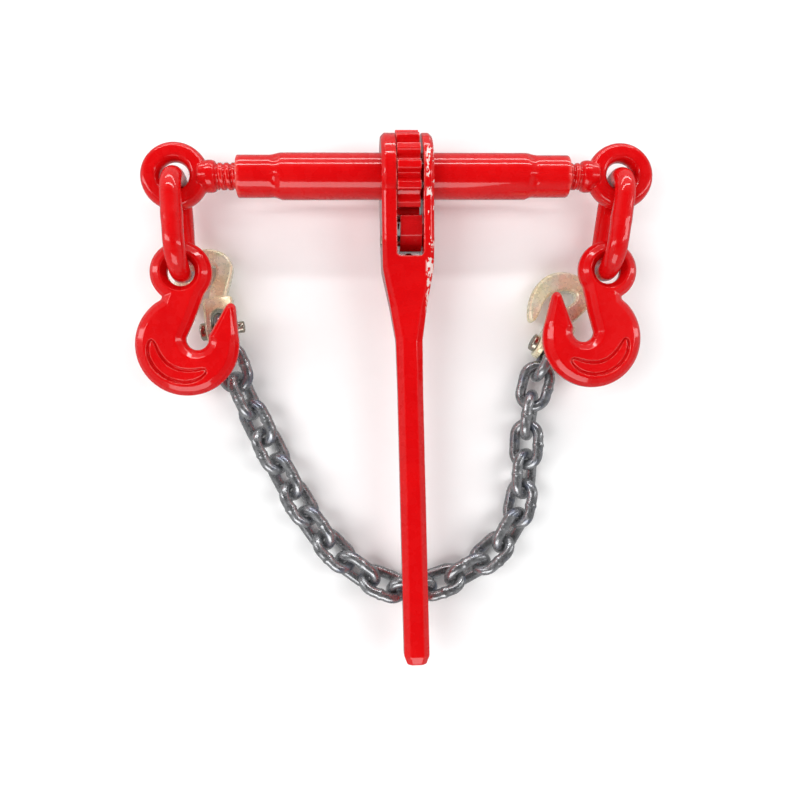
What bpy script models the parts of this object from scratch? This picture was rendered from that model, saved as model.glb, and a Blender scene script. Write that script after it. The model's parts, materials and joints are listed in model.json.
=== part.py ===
"""Ratchet load binder with two eye grab hooks, and the short lifting chain that lies under it.

Everything lies flat: +X runs along the barrel, +Y away from the handle, +Z up from the floor.
Dimensions are in millimetres, and meshes are built in metres.
"""

from math import cos, hypot, pi, radians, sin

import bmesh
import bpy
from mathutils import Euler, Matrix, Vector

MM = 0.001

# The design is laid out from the gear's axis. The origin is the floor under the object's middle.
MIDDLE = (-7.1, -164.35, 0.0)

# Barrel and ratchet gear
AXIS_Z = 33.3
BARREL_LEFT, BARREL_RIGHT = -125.6, 120.1
BARREL_R, BARREL_END_R, BARREL_BORE_R = 17.0, 15.4, 10.4
BARREL_END_LENGTH, BARREL_TAPER = 24.0, 9.0
GEAR_LEFT, GEAR_RIGHT = -9.6, 7.4
GEAR_TEETH, GEAR_R, GEAR_ROOT_R, GEAR_BORE_R = 14, 33.0, 27.2, 17.3

# Ratchet handle
HEAD_LEFT, HEAD_RIGHT, HEAD_R, HEAD_BORE_R = -20.7, 16.9, 31.0, 17.4
SLOT_LEFT, SLOT_RIGHT, SLOT_END = -10.0, 9.2, -62.0
# Each section: y, centre x, half width, half thickness, chamfer
HANDLE_SECTIONS = (
    (-10.0, -1.9, 18.8, 27.0, 2.6),
    (-52.0, -1.9, 18.8, 23.0, 2.6),
    (-70.0, -1.8, 18.6, 18.0, 3.2),
    (-97.0, -1.6, 13.6, 13.0, 4.4),
    (-122.0, -1.3, 9.9, 10.4, 4.8),
    (-160.0, -1.0, 9.4, 9.5, 4.4),
    (-355.0, 0.6, 9.4, 9.5, 4.4),
    (-361.3, 0.6, 7.0, 7.0, 3.2),
)

# Pawl, its pin and its detent
PAWL_LEFT, PAWL_RIGHT, PAWL_Y = -7.4, 8.7, -48.0
PAWL_PIN_R, PAWL_HOLE_R = 4.0, 4.3
# One half of the pawl's outline, as y and z, from its tip to its back
PAWL_HALF = (
    (-39.6, 0.0), (-37.0, 8.5), (-35.0, 11.2), (-31.4, 14.6), (-33.0, 18.6),
    (-39.0, 19.4), (-47.0, 17.0), (-53.0, 11.0), (-56.6, 4.5),
)
DETENT_X, DETENT_R, DETENT_HOLE_R, DETENT_DEPTH = -0.4, 3.6, 4.0, 26.0
PLUNGER_LENGTH, SPRING_TURNS, SPRING_POINTS, SPRING_WIRE_R = 13.0, 5, 9, 0.7

# Eye bolts
RING_LEFT_X, RING_RIGHT_X = -170.5, 160.0
RING_R, RING_HOLE_R, RING_FLARE_R, RING_HALF = 24.8, 10.5, 14.6, 7.75
NECK_R, THREAD_R, NECK_END, THREAD_END = 11.8, 9.9, 30.0, 146.0

# Red links and eye grab hooks
ROD_R, LINK_HALF_WIDTH, LINK_STRAIGHT, LINK_HANG = 7.5, 20.5, 30.0, 1.2
LINK_REACH = 2 * LINK_HALF_WIDTH + LINK_STRAIGHT
HOOK_HALF, EYE_R, EYE_HOLE_R, EYE_FLARE_R = 7.75, 22.0, 10.0, 13.8
HOOK_BODY_Y, HOOK_BODY_R = -52.0, 37.0
THROAT_X, THROAT_Y, THROAT_R = 7.5, -48.5, 8.2
TIP_X, TIP_Y, TIP_R = 32.9, -28.4, 3.7
POCKET_DEPTH, POCKET_OUTER_R, POCKET_INNER_R = 1.6, 29.5, 19.0
# Each side: name, mirror, ring x, link lean, link tilt, hook turn, hook tilt, hook lift
SIDES = (
    ("left", 1, RING_LEFT_X, 4.1, 7.0, 3.8, 2.0, 0.0),
    ("right", -1, RING_RIGHT_X, -9.3, 0.0, -14.1, 0.0, 2.4),
)

# Chain
WIRE_R, CHAIN_END_R, CHAIN_STRAIGHT = 4.0, 9.75, 12.5
CHAIN_HALF = CHAIN_END_R + CHAIN_STRAIGHT / 2
CHAIN_STEP, CHAIN_LINKS = 22.9, 22
CHAIN_Z = 10.95
# The roll and the height of the links at each end, from the load pin inwards
END_LINKS = ((90.0, 13.9), (12.0, 13.4), (-66.0, 12.9), (36.0, 12.0))
# The chain's route on the floor, from one load pin to the other
CHAIN_ROUTE = (
    (-141.5, -110.5), (-137.5, -130.0), (-126.0, -160.0), (-107.5, -200.0), (-87.0, -241.0),
    (-60.5, -280.0), (-24.0, -307.5), (8.0, -311.0), (50.0, -295.0), (78.0, -268.0),
    (88.0, -233.0), (91.0, -190.0), (98.5, -152.0), (108.5, -131.0), (119.0, -110.0),
)

# Plated clevis grab hooks, in a frame with the load pin at the origin
PIN_R, PIN_Z, PIN_GAP = 4.4, 13.4, 4.4
EAR_IN, EAR_OUT, EAR_R = 6.0, 11.0, 10.4
BLADE_HALF, CLEVIS_TILT = 5.0, 7.3
CLEVIS_LEFT_TURN, CLEVIS_RIGHT_TURN = 7.0, -27.0

RED = ((0.62, 0.006, 0.008), 0.22, 0.0)
DARK_RED = ((0.5, 0.005, 0.006), 0.3, 0.0)
STEEL = ((0.28, 0.29, 0.31), 0.38, 0.9)
ZINC = ((0.72, 0.62, 0.33), 0.3, 0.9)
PIN_STEEL = ((0.62, 0.6, 0.52), 0.3, 0.9)


def material(name, look):
    """A plain Principled material with a colour, a roughness and a metallic value."""
    colour, roughness, metallic = look
    made = bpy.data.materials.new(name)
    made.use_nodes = True
    shader = made.node_tree.nodes["Principled BSDF"]
    shader.inputs["Base Color"].default_value = (*colour, 1.0)
    shader.inputs["Roughness"].default_value = roughness
    shader.inputs["Metallic"].default_value = metallic
    return made


def turn_matrix(tilt, turn):
    """Tilted about X, then turned about Z, in degrees."""
    return Euler((radians(tilt), 0.0, radians(turn))).to_matrix().to_4x4()


def piece(name, shape, look, origin, tilt=0.0, turn=0.0):
    """A named part at its place. The mesh is made about its own origin."""
    obj = body(name, shape)
    obj.data.materials.append(material(name, look))
    place = Vector(origin) - Vector(MIDDLE)
    obj.matrix_world = Matrix.Translation(place * MM) @ turn_matrix(tilt, turn)
    return obj


def body(name, rings_and_ends):
    """A closed mesh lofted through rings of points, capped at its ends or joined into a loop."""
    rings, loop = rings_and_ends
    bm = bmesh.new()
    rows = [[bm.verts.new(Vector(p) * MM) for p in ring] for ring in rings]
    pairs = list(zip(rows, rows[1:]))
    if loop:
        pairs.append((rows[-1], rows[0]))
    else:
        bm.faces.new(rows[0][::-1])
        bm.faces.new(rows[-1])
    for low, high in pairs:
        for i in range(len(low)):
            j = (i + 1) % len(low)
            bm.faces.new((low[i], low[j], high[j], high[i]))
    bmesh.ops.recalc_face_normals(bm, faces=bm.faces)
    mesh = bpy.data.meshes.new(name)
    bm.to_mesh(mesh)
    bm.free()
    mesh.shade_smooth()
    mesh.set_sharp_from_angle(angle=radians(30))
    obj = bpy.data.objects.new(name, mesh)
    bpy.context.scene.collection.objects.link(obj)
    return obj


def combine(obj, other_rings, operation):
    """Joins a second body to a part, or cuts it away. The second body stays hidden as a child."""
    other = body(f"{obj.name}_{operation.lower()}_{len(obj.modifiers)}", other_rings)
    other.parent = obj
    other.hide_render = True
    other.display_type = "WIRE"
    step = obj.modifiers.new(operation.title(), "BOOLEAN")
    step.operation = operation
    step.solver = "EXACT"
    step.object = other


def along_x(p):
    return (p[2], p[0], p[1])


def along_y(p):
    return (p[0], -p[2], p[1])


def as_is(p):
    return p


def circle(radius, t, sides, cx=0.0, cy=0.0):
    return [
        (cx + radius * cos(2 * pi * i / sides), cy + radius * sin(2 * pi * i / sides), t)
        for i in range(sides)
    ]


def turned(profile, sides, axis, loop=False, cx=0.0, cy=0.0):
    """A turned body. The profile lists places along the axis, each with its radius."""
    return [[axis(p) for p in circle(r, t, sides, cx, cy)] for t, r in profile], loop


def arc(cx, cy, radius, start, end, steps):
    """Points on an arc, with both ends, from one angle to the other in degrees."""
    angles = [radians(start + (end - start) * i / steps) for i in range(steps + 1)]
    return [(cx + radius * cos(a), cy + radius * sin(a)) for a in angles]


def inset(outline, amount):
    """An anticlockwise outline moved inwards by an amount."""
    moved = []
    for i, here in enumerate(outline):
        before, after = outline[i - 1], outline[(i + 1) % len(outline)]
        normals = []
        for (ax, ay), (bx, by) in ((before, here), (here, after)):
            length = hypot(bx - ax, by - ay)
            normals.append(((ay - by) / length, (bx - ax) / length))
        (n1x, n1y), (n2x, n2y) = normals
        scale = amount / (1.0 + n1x * n2x + n1y * n2y)
        moved.append((here[0] + (n1x + n2x) * scale, here[1] + (n1y + n2y) * scale))
    return moved


def extruded(outline, levels, axis=as_is):
    """An outline extruded through levels, each a height and an inset."""
    return [[axis((x, y, t)) for x, y in inset(outline, by)] for t, by in levels], False


def plate_levels(half, edge_depth, edge_inset):
    return ((-half, edge_inset), (edge_depth - half, 0.0), (half - edge_depth, 0.0), (half, edge_inset))


def oval_link(half_width, straight, wire_r, sides, end_steps, top_y):
    """A closed link in the YZ plane, whose upper crown's centre line starts at top_y."""
    upper, lower = top_y - half_width, top_y - half_width - straight
    path = [(upper + y, z) for y, z in arc(0, 0, half_width, -90, 90, end_steps)]
    path += [(lower + y, z) for y, z in arc(0, 0, half_width, 90, 270, end_steps)]
    rings = []
    for i, (y, z) in enumerate(path):
        (ay, az), (by, bz) = path[i - 1], path[(i + 1) % len(path)]
        length = hypot(by - ay, bz - az)
        ny, nz = (bz - az) / length, (ay - by) / length
        ring = circle(wire_r, 0.0, sides)
        rings.append([(v, y + ny * u, z + nz * u) for u, v, _ in ring])
    return rings, True


def make_barrel():
    taper_left = BARREL_LEFT + BARREL_END_LENGTH
    taper_right = BARREL_RIGHT - BARREL_END_LENGTH
    profile = (
        (BARREL_LEFT, BARREL_BORE_R), (BARREL_LEFT, BARREL_END_R - 1.0),
        (BARREL_LEFT + 1.0, BARREL_END_R), (taper_left, BARREL_END_R),
        (taper_left + BARREL_TAPER, BARREL_R), (taper_right - BARREL_TAPER, BARREL_R),
        (taper_right, BARREL_END_R), (BARREL_RIGHT - 1.0, BARREL_END_R),
        (BARREL_RIGHT, BARREL_END_R - 1.0), (BARREL_RIGHT, BARREL_BORE_R),
    )
    piece("barrel_tube", turned(profile, 30, along_x, loop=True), RED, (0, 0, AXIS_Z))


def make_gear():
    pitch = 360.0 / GEAR_TEETH
    outline = []
    for tooth in range(GEAR_TEETH):
        centre = pitch * (tooth + 0.5)
        for angle, radius in ((-9.0, GEAR_ROOT_R), (-5.6, GEAR_R - 0.9), (-4.0, GEAR_R),
                              (4.0, GEAR_R), (5.6, GEAR_R - 0.9), (9.0, GEAR_ROOT_R)):
            a = radians(centre + angle)
            outline.append((radius * cos(a), radius * sin(a)))
    levels = ((GEAR_LEFT, 0.5), (GEAR_LEFT + 0.5, 0.0), (GEAR_RIGHT - 0.5, 0.0), (GEAR_RIGHT, 0.5))
    gear = piece("ratchet_gear", extruded(outline, levels, along_x), RED, (0, 0, AXIS_Z))
    bore = ((GEAR_LEFT - 5, GEAR_BORE_R), (GEAR_RIGHT + 5, GEAR_BORE_R))
    combine(gear, turned(bore, 40, along_x), "DIFFERENCE")


def make_handle():
    rings = []
    for y, cx, w, t, c in HANDLE_SECTIONS:
        rings.append([(cx + u, y, v) for u, v in (
            (w, t - c), (w - c, t), (c - w, t), (-w, t - c),
            (-w, c - t), (c - w, -t), (w - c, -t), (w, c - t),
        )])
    handle = piece("handle", (rings, False), RED, (0, 0, AXIS_Z))
    edge = 2.6
    head = ((HEAD_LEFT, HEAD_R - edge), (HEAD_LEFT + edge, HEAD_R),
            (HEAD_RIGHT - edge, HEAD_R), (HEAD_RIGHT, HEAD_R - edge))
    combine(handle, turned(head, 48, along_x), "UNION")
    corner = 2.5
    slot = [(SLOT_RIGHT, HEAD_R + 9), (SLOT_LEFT, HEAD_R + 9)]
    slot += arc(SLOT_LEFT + corner, SLOT_END + corner, corner, 180, 270, 4)
    slot += arc(SLOT_RIGHT - corner, SLOT_END + corner, corner, 270, 360, 4)
    combine(handle, extruded(slot, ((-HEAD_R - 9, 0.0), (HEAD_R + 9, 0.0))), "DIFFERENCE")
    through = (HEAD_LEFT - 5, HEAD_RIGHT + 5)
    combine(handle, turned([(x, HEAD_BORE_R) for x in through], 40, along_x), "DIFFERENCE")
    pin_hole = turned([(x, PAWL_HOLE_R) for x in through], 20, along_x, cx=PAWL_Y)
    combine(handle, pin_hole, "DIFFERENCE")
    detent = [(-SLOT_END - 3, DETENT_HOLE_R), (-SLOT_END + DETENT_DEPTH, DETENT_HOLE_R)]
    combine(handle, turned(detent, 16, along_y, cx=DETENT_X), "DIFFERENCE")


def make_pawl():
    """The double-ended pawl, made about its pivot, with the pin and detent that hold it."""
    half = [(y - PAWL_Y, z) for y, z in PAWL_HALF]
    mirrored = [(y, -z) for y, z in half[:0:-1]]
    outline = (half + mirrored)[::-1] if outline_area(half + mirrored) < 0 else half + mirrored
    levels = ((PAWL_LEFT, 0.6), (PAWL_LEFT + 0.6, 0.0), (PAWL_RIGHT - 0.6, 0.0), (PAWL_RIGHT, 0.6))
    pawl = piece("pawl", extruded(outline, levels, along_x), DARK_RED, (0, PAWL_Y, AXIS_Z))
    hole = ((PAWL_LEFT - 5, PAWL_HOLE_R), (PAWL_RIGHT + 5, PAWL_HOLE_R))
    combine(pawl, turned(hole, 20, along_x), "DIFFERENCE")

    ends = 0.8
    pin = ((HEAD_LEFT - ends, PAWL_PIN_R - 0.6), (HEAD_LEFT - ends + 0.6, PAWL_PIN_R),
           (HEAD_RIGHT + ends - 0.6, PAWL_PIN_R), (HEAD_RIGHT + ends, PAWL_PIN_R - 0.6))
    piece("pawl_pin", turned(pin, 20, along_x), PIN_STEEL, (0, PAWL_Y, AXIS_Z))

    nose = -SLOT_END - 4.6
    plunger = ((0.0, 1.6), (1.2, 3.0), (2.6, DETENT_R), (PLUNGER_LENGTH, DETENT_R))
    place = (DETENT_X, -nose, AXIS_Z)
    piece("pawl_plunger", turned(plunger, 16, along_y), STEEL, place)

    start = -nose - PLUNGER_LENGTH - 2.2
    length = start - (SLOT_END - DETENT_DEPTH) - 1.2
    coil_r = DETENT_R - SPRING_WIRE_R - 0.3
    steps = SPRING_TURNS * SPRING_POINTS
    rings = []
    for i in range(steps + 1):
        a = 2 * pi * i / SPRING_POINTS
        out, down = Vector((cos(a), 0.0, sin(a))), Vector((0.0, -1.0, 0.0))
        centre = out * coil_r + down * (length * i / steps)
        rings.append([centre + (out * u + down * v) for u, v, _ in circle(SPRING_WIRE_R, 0, 5)])
    piece("pawl_spring", (rings, False), STEEL, (DETENT_X, start, AXIS_Z))


def outline_area(outline):
    """Twice the area, positive for an anticlockwise outline."""
    return sum(a[0] * b[1] - a[1] * b[0] for a, b in zip(outline, outline[1:] + outline[:1]))


def make_eye_bolt(side, mirror, ring_x):
    profile = (
        (-3.0, RING_HOLE_R), (3.0, RING_HOLE_R), (RING_HALF, RING_FLARE_R),
        (RING_HALF, RING_R - 3.6), (RING_HALF - 1.4, RING_R - 1.2), (3.4, RING_R),
        (-3.4, RING_R), (1.4 - RING_HALF, RING_R - 1.2), (-RING_HALF, RING_R - 3.6),
        (-RING_HALF, RING_FLARE_R),
    )
    ring = turned(profile, 30, as_is, loop=True)
    eye = piece(f"{side}_eye_bolt", ring, RED, (ring_x, 0, AXIS_Z))
    shank = ((RING_HOLE_R + 7.0, NECK_R - 1.5), (RING_R - 1.0, NECK_R), (NECK_END - 2.0, NECK_R),
             (NECK_END, THREAD_R), (THREAD_END, THREAD_R), (THREAD_END + 1.5, THREAD_R - 1.5))
    combine(eye, turned([(mirror * x, r) for x, r in shank], 24, along_x), "UNION")


def hook_outline():
    """The eye grab hook, with its eye at the origin and its body below."""
    outline = arc(0, 0, EYE_R, -47, 228, 22)
    outline += [(-15.6, -18.6)]
    outline += arc(0, HOOK_BODY_Y, HOOK_BODY_R, 123, 366, 24)
    outline += arc(TIP_X, TIP_Y, TIP_R, 0, 150, 5)
    outline += arc(THROAT_X, THROAT_Y, THROAT_R, 8, -188, 9)
    outline += [(6.6, -34.0)]
    return outline


def make_hook(side, mirror, eye, turn, tilt):
    flip = [(mirror * x, y) for x, y in hook_outline()]
    outline = flip if mirror > 0 else flip[::-1]
    levels = plate_levels(HOOK_HALF, 3.4, 2.9)
    hook = piece(f"{side}_grab_hook", extruded(outline, levels), RED, eye, tilt, turn)
    hole = ((-HOOK_HALF - 2, EYE_FLARE_R + 1.2), (-HOOK_HALF, EYE_FLARE_R), (-2.5, EYE_HOLE_R),
            (2.5, EYE_HOLE_R), (HOOK_HALF, EYE_FLARE_R), (HOOK_HALF + 2, EYE_FLARE_R + 1.2))
    combine(hook, turned(hole, 32, as_is), "DIFFERENCE")
    outer = arc(0, HOOK_BODY_Y, POCKET_OUTER_R, 176, 292, 14)
    inner = arc(1.5, HOOK_BODY_Y + 2.5, POCKET_INNER_R, 290, 178, 12)
    pocket = [(mirror * x, y) for x, y in outer + inner]
    pocket = pocket if mirror > 0 else pocket[::-1]
    for face in (1, -1):
        near, far = face * (HOOK_HALF - POCKET_DEPTH), face * (HOOK_HALF + 2)
        span = ((near, 0.6), (far, 0.0)) if face > 0 else ((far, 0.0), (near, 0.6))
        combine(hook, extruded(pocket, span), "DIFFERENCE")


def make_side(side, mirror, ring_x, lean, tilt, hook_turn, hook_tilt, lift):
    """The eye bolt, link and grab hook at one end of the barrel."""
    make_eye_bolt(side, mirror, ring_x)
    pivot = Vector((ring_x, -LINK_HANG, AXIS_Z))
    link = oval_link(LINK_HALF_WIDTH, LINK_STRAIGHT, ROD_R, 12, 10, 0.0)
    piece(f"{side}_link", link, RED, pivot, -tilt, lean)
    eye = pivot + turn_matrix(-tilt, lean) @ Vector((0.0, -LINK_REACH, 0.0))
    make_hook(side, mirror, eye + Vector((0.0, 0.0, lift)), hook_turn, hook_tilt)


def route_points():
    """A smooth curve through the chain's route, as closely spaced points."""
    pts = [Vector(p) for p in CHAIN_ROUTE]
    pts = [2 * pts[0] - pts[1], *pts, 2 * pts[-1] - pts[-2]]
    smooth = []
    steps = 60
    for a, b, c, d in zip(pts, pts[1:], pts[2:], pts[3:]):
        for i in range(steps):
            t = i / steps
            smooth.append(0.5 * (2 * b + (c - a) * t + (2 * a - 5 * b + 4 * c - d) * t**2
                                 + (3 * b - a - 3 * c + d) * t**3))
    return smooth


def chain_pivots():
    """The load pins and the points where links meet, each one link's step along the route."""
    from_pin = CHAIN_HALF - PIN_R - PIN_GAP + CHAIN_STEP / 2
    spacing = [from_pin] + [CHAIN_STEP] * (CHAIN_LINKS - 2) + [from_pin]
    route = route_points()
    pivots, place = [route[0]], 0
    for step in spacing:
        while (route[place] - pivots[-1]).length < step:
            place += 1
        pivots.append(pivots[-1] + (route[place] - pivots[-1]).normalized() * step)
    return pivots


def link_lie(index):
    """A link's roll and height. Links lie at 45 degrees, first one way and then the other.

    The end links turn by steps to stand on edge, so that the load pins can pass through them.
    """
    from_end = min(index, CHAIN_LINKS - 1 - index)
    if from_end >= len(END_LINKS):
        return (45.0 if index % 2 else -45.0), CHAIN_Z
    roll, height = END_LINKS[from_end]
    return (roll if index == from_end else -roll), height


def make_chain():
    """The links, each with its origin where it meets its neighbour nearer the middle."""
    pivots = chain_pivots()
    middle = CHAIN_LINKS // 2
    for i in range(CHAIN_LINKS):
        first, last = pivots[i], pivots[i + 1]
        inner = last if i < middle else first
        heading = (last - first).normalized()
        centre = (first + heading * (CHAIN_STEP / 2)) if i else (last - heading * (CHAIN_STEP / 2))
        turn = Matrix((heading, (-heading.y, heading.x))).transposed()
        path = chain_link_path()
        lie, height = link_lie(i)
        roll = Matrix.Rotation(radians(lie), 3, "X")
        rings = []
        for ring in path:
            local = [roll @ Vector(p) for p in ring]
            flat = [turn @ Vector((p.x, p.y)) + centre - inner for p in local]
            rings.append([(q.x, q.y, p.z + height - CHAIN_Z) for p, q in zip(local, flat)])
        piece(f"chain_link_{i + 1:02d}", (rings, True), STEEL, (inner.x, inner.y, CHAIN_Z))
    return pivots


def chain_link_path():
    """A chain link lying along X, in the XY plane, with its centre at the origin."""
    rings, _ = oval_link(CHAIN_END_R, CHAIN_STRAIGHT, WIRE_R, 8, 7, CHAIN_HALF)
    return [[(y, z, x) for x, y, z in ring] for ring in rings]


def clevis_outline():
    """The clevis grab hook's blade, with the load pin at the origin and the tip on the left."""
    return smooth_loop((
        (7.6, 12.0), (6.6, 24.0), (10.5, 35.0), (14.0, 47.0), (9.5, 57.5), (-3.0, 63.0),
        (-16.0, 61.0), (-26.5, 52.0), (-31.0, 39.0), (-29.6, 25.0), (-25.0, 14.5), (-20.8, 14.6),
        (-19.6, 22.0), (-20.0, 32.0), (-16.6, 41.0), (-8.5, 48.0), (0.0, 49.5), (1.2, 42.5),
        (-5.0, 31.0), (-7.4, 22.0), (-7.6, 12.0),
    ), 3)


def smooth_loop(points, steps):
    """A closed smooth curve through a few points."""
    pts = [Vector(p) for p in points]
    curve = []
    for i in range(len(pts)):
        a, b, c, d = pts[i - 1], pts[i], pts[(i + 1) % len(pts)], pts[(i + 2) % len(pts)]
        for k in range(steps):
            t = k / steps
            curve.append(tuple(0.5 * (2 * b + (c - a) * t + (2 * a - 5 * b + 4 * c - d) * t**2
                                      + (3 * b - a - 3 * c + d) * t**3)))
    return curve


def make_clevis_hook(side, pin_place, turn):
    """A plated hook, its load pin and the split pin that keeps it in."""
    origin = (pin_place.x, pin_place.y, PIN_Z)
    fork = [(-EAR_R, 0.0)] + [(x, y) for x, y in arc(0, 0, EAR_R, 190, 350, 10)]
    fork += [(EAR_R, 0.0), (8.0, 16.0), (6.0, 24.0), (-6.0, 24.0), (-8.0, 16.0)]
    sideways = [(y, x) for x, y in fork][::-1]
    levels = plate_levels(EAR_OUT, 1.6, 1.4)
    fork_shape = extruded(sideways, levels, along_x)
    hook = piece(f"{side}_clevis_hook", fork_shape, ZINC, origin, -CLEVIS_TILT, turn)
    combine(hook, extruded(clevis_outline(), plate_levels(BLADE_HALF, 1.6, 1.5)), "UNION")
    gap = arc(0, 8.5, EAR_IN, 0, 180, 8) + [(-EAR_IN, -20.0), (EAR_IN, -20.0)]
    combine(hook, extruded(gap, ((-15.0, 0.0), (15.0, 0.0))), "DIFFERENCE")
    bore = [(-EAR_OUT - 5, PIN_R + 0.3), (EAR_OUT + 5, PIN_R + 0.3)]
    combine(hook, turned(bore, 20, along_x), "DIFFERENCE")

    head = -EAR_OUT - 0.3
    pin = ((head - 4.6, 5.6), (head - 3.8, 6.6), (head, 6.6), (head, PIN_R),
           (EAR_OUT + 5.4, PIN_R), (EAR_OUT + 6.2, PIN_R - 0.8))
    pin_shape = turned(pin, 20, along_x)
    load_pin = piece(f"{side}_clevis_pin", pin_shape, PIN_STEEL, origin, -CLEVIS_TILT, turn)
    split_x = EAR_OUT + 2.6
    combine(load_pin, turned(((-9.0, 1.5), (9.0, 1.5)), 12, as_is, cx=split_x), "DIFFERENCE")
    split = ((-6.6, 0.7), (-6.0, 1.1), (5.2, 1.1), (5.6, 2.3), (7.6, 2.3), (8.2, 1.4))
    split_shape = turned(split, 12, as_is, cx=split_x)
    piece(f"{side}_split_pin", split_shape, PIN_STEEL, origin, -CLEVIS_TILT, turn)


def main():
    for obj in list(bpy.data.objects):
        bpy.data.objects.remove(obj, do_unlink=True)
    make_barrel()
    make_gear()
    make_handle()
    make_pawl()
    for side in SIDES:
        make_side(*side)
    pivots = make_chain()
    make_clevis_hook("left", pivots[0], CLEVIS_LEFT_TURN)
    make_clevis_hook("right", pivots[-1], CLEVIS_RIGHT_TURN)


main()
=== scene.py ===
import json
from math import cos, exp, hypot, pi, radians, sin

import bmesh
import bpy
import numpy as np
from mathutils import Euler, Matrix, Vector


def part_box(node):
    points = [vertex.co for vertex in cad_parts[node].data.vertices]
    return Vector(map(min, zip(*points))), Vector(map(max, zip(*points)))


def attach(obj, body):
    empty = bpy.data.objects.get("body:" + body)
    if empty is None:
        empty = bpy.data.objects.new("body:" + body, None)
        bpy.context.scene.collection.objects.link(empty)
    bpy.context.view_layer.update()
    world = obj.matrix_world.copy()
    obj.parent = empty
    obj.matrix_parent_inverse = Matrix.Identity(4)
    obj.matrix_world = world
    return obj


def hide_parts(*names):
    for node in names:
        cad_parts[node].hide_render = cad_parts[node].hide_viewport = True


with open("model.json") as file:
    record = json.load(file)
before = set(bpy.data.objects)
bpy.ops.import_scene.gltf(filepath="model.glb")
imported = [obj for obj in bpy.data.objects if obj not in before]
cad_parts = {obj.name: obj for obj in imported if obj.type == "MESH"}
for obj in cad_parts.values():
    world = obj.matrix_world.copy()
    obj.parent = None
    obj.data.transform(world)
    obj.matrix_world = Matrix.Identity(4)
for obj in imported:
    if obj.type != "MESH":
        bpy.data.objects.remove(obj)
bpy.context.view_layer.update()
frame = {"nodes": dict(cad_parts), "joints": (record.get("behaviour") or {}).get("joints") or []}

# Lengths are in millimetres until they become vertices or places, which are in metres.
# Lamps, bumps and the camera's place are in metres.
MM = 0.001
PLACES = {joint["name"]: joint.get("pos_m") for joint in frame["joints"]}
AXIS = Vector(PLACES["handle_swing"])

# Sides of a large round, and how far a cutter goes past what it cuts
ROUND, CUT = 96, 9

# Barrel and gear
BARREL_R, BARREL_END_R, BARREL_BORE_R, BARREL_EDGE = 17.0, 15.4, 10.4, 1.2
BARREL_END_LENGTH, BARREL_TAPER, BARREL_MOUTH, CRIMP_DEPTH, CRIMPS = 24.0, 9.0, 0.6, 1.1, 5
# How many rings of points each stretch of the barrel has
END_STEPS, TAPER_STEPS, MIDDLE_STEPS = 8, 14, 60
GEAR_TEETH, GEAR_R, GEAR_ROOT_R, GEAR_BORE_R = 14, 33.0, 27.2, 17.3
# One tooth: angles in degrees from its middle, each with its radius
GEAR_TOOTH = (
    (-9.0, GEAR_ROOT_R), (-5.6, GEAR_R - 0.9), (-4.0, GEAR_R), (-2.0, GEAR_R),
    (2.0, GEAR_R), (4.0, GEAR_R), (5.6, GEAR_R - 0.9), (9.0, GEAR_ROOT_R),
)

# Handle
HEAD_LEFT, HEAD_RIGHT, HEAD_R, HEAD_BORE_R, HEAD_EDGE = -20.7, 16.9, 31.0, 17.4, 2.6
SLOT_LEFT, SLOT_RIGHT, SLOT_END, SLOT_CORNER = -10.0, 9.2, -62.0, 2.5
# Each section: y, centre x, half width, half thickness, chamfer
HANDLE_SECTIONS = (
    (-10.0, -1.9, 18.8, 27.0, 2.6),
    (-52.0, -1.9, 18.8, 23.0, 2.6),
    (-70.0, -1.8, 18.6, 18.0, 3.2),
    (-97.0, -1.6, 13.6, 13.0, 4.4),
    (-122.0, -1.3, 9.9, 10.4, 4.8),
    (-160.0, -1.0, 9.4, 9.5, 4.4),
    (-355.0, 0.6, 9.4, 9.5, 4.4),
    (-361.3, 0.6, 7.0, 7.0, 3.2),
)
PAWL_PLACE, PAWL_HOLE_R, DETENT_X, DETENT_HOLE_R, DETENT_DEPTH = -48.0, 4.3, -0.4, 4.0, 26.0
PAWL_LEFT, PAWL_RIGHT = -7.4, 8.7
# One half of the pawl's outline from its pivot, as y and z, from the notch between its tips to its back
PAWL_HALF = (
    (8.4, 0.0), (11.0, 8.5), (13.0, 11.2), (16.6, 14.6), (15.0, 18.6),
    (9.0, 19.4), (1.0, 17.0), (-5.0, 11.0), (-8.6, 4.5),
)
# Where the right cheek is scuffed: the middle of each patch along the handle, and half its length
SCUFFS = ((8.0, 8.0), (-9.0, 4.0), (-17.0, 4.0), (-92.0, 32.0))

# Eye bolts
RING_R, RING_HOLE_R, RING_HALF, NECK_R, NECK_END = 24.8, 10.5, 7.75, 11.8, 30.0
RING_HOLE_ROUNDING, RING_CROWN_ROUNDING = 4.4, 5.6
THREAD_R, THREAD_END, THREAD_PITCH, THREAD_DEPTH = 9.9, 146.0, 5.0, 1.1
THREAD_STEP, THREAD_SIDES, THREAD_LEAD_OUT = 0.5, 48, 3.0

# Red links and eye grab hooks
ROD_R, LINK_HALF_WIDTH, LINK_STRAIGHT = 7.5, 20.5, 30.0
HOOK_HALF, EYE_R, EYE_HOLE_R, EYE_FLARE_R = 7.75, 22.0, 10.0, 13.8
HOOK_BODY_Y, HOOK_BODY_R = -52.0, 37.0
THROAT_X, THROAT_Y, THROAT_R = 7.5, -48.5, 8.2
TIP_X, TIP_Y, TIP_R = 32.9, -28.4, 3.7
HOOK_BEVEL, HOOK_BEVEL_DEPTH = 6.5, 5.6
# The crescent pocket: the radius of its middle, half its width, and its start and length in degrees
POCKET_R, POCKET_HALF, POCKET_START, POCKET_SPAN = HOOK_BODY_R - 13.0, 6.0, 168, 136
POCKET_DEPTH, RIB_MARGIN = 2.2, 2.3
# Each side: name, mirror, hook turn, hook tilt
SIDES = (("left", 1, 3.8, 2.0), ("right", -1, -14.1, 0.0))

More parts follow.
